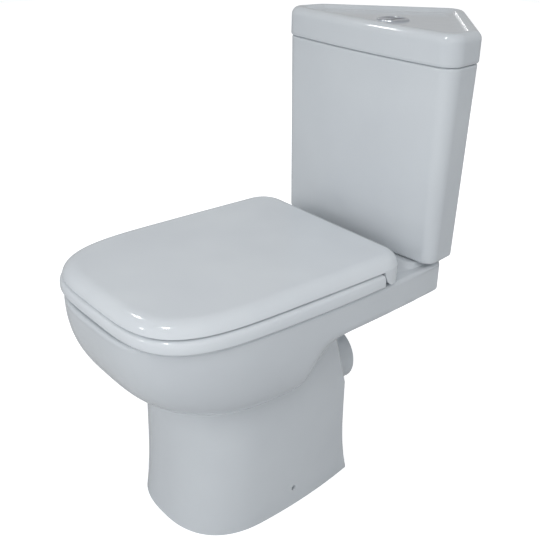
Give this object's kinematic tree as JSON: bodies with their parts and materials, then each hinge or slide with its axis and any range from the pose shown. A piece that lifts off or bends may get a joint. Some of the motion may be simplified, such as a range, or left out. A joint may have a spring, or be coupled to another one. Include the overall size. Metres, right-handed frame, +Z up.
{
  "type": "corner toilet",
  "caption": "Close-coupled corner toilet: pedestal pan, wedge-shaped cistern with push-button lid, hinged seat ring and seat lid, flush and fill gear inside.",
  "frame": {"origin": "centre of the bounding box's footprint, on the floor", "axes": "+Z up, +Y towards the corner of the room that the cistern fits, -Y towards the front of the pan, +X to the right of a person who faces +Y"},
  "size_m": [0.374, 0.749, 0.776],
  "materials": {
    "glaze": "gloss",
    "seat": "gloss",
    "chrome": "polished",
    "steel": "satin",
    "rubber": "matt",
    "white_plastic": "satin",
    "float_plastic": "satin"
  },
  "bodies": {
    "fixed": {"pan": "glaze", "cistern": "glaze", "cistern_lid": "glaze", "hinge_posts": "chrome", "hinge_gaskets": "rubber", "hinge_pins": "steel", "hinge_cone_washers": "rubber", "hinge_wing_nuts": "white_plastic", "button_bezel": "chrome", "button_housing": "white_plastic", "housing_nut": "white_plastic", "full_spring": "steel", "half_spring": "steel", "flush_valve_base": "white_plastic", "flush_valve_washer": "rubber", "flush_valve_tower": "white_plastic", "flush_valve_nut": "white_plastic", "coupling_plate": "steel", "doughnut_washer": "rubber", "cistern_bolts": "steel", "bolt_seals": "rubber", "bolt_spacers": "rubber", "bolt_washers": "steel", "bolt_wing_nuts": "steel", "fill_valve": "white_plastic", "fill_valve_washer": "rubber", "inlet_nut": "white_plastic", "lever_pin": "steel"},
    "lid": {"seat_lid": "seat", "lid_buffers": "rubber"},
    "ring": {"seat_ring": "seat", "ring_buffers": "rubber"},
    "full_push": {"full_button": "chrome", "full_rod": "white_plastic"},
    "half_push": {"half_button": "chrome", "half_rod": "white_plastic"},
    "lift": {"float_tube": "float_plastic", "valve_seal": "rubber"},
    "float": {"float_cup": "float_plastic"},
    "lever": {"float_lever": "white_plastic"}
  },
  "joints": [
    {"name": "lid_hinge", "type": "hinge", "parent": "fixed", "child": "lid", "pos_m": [0, 0.07552, 0.419], "axis": [-1, 0, 0], "range_deg": [0, 93]},
    {"name": "ring_hinge", "type": "hinge", "parent": "fixed", "child": "ring", "pos_m": [0, 0.07552, 0.419], "axis": [-1, 0, 0], "range_deg": [0, 93]},
    {"name": "full_flush", "type": "slide", "parent": "fixed", "child": "full_push", "axis": [0, 0, -1], "range_m": [0, 0.006], "stiffness_N_per_m": 300, "springref_m": -0.006, "deforming": ["full_spring"]},
    {"name": "half_flush", "type": "slide", "parent": "fixed", "child": "half_push", "axis": [0, 0, -1], "range_m": [0, 0.006], "stiffness_N_per_m": 300, "springref_m": -0.006, "deforming": ["half_spring"]},
    {"name": "valve_lift", "type": "slide", "parent": "fixed", "child": "lift", "axis": [0, 0, 1], "range_m": [0, 0.012]},
    {"name": "float_rise", "type": "slide", "parent": "fixed", "child": "float", "axis": [0, 0, 1], "range_m": [0, 0.008]},
    {"name": "lever_turn", "type": "hinge", "parent": "fixed", "child": "lever", "pos_m": [0, 0.32848, 0.718], "axis": [-1, 0, 0], "range_deg": [0, 12.06]}
  ],
  "couplings": [
    {"joint": "ring_hinge", "follows": "lid_hinge", "ratio": 1},
    {"joint": "valve_lift", "follows": "full_flush", "ratio": 2},
    {"joint": "lever_turn", "follows": "float_rise", "rad_per_m": 26.316}
  ]
}
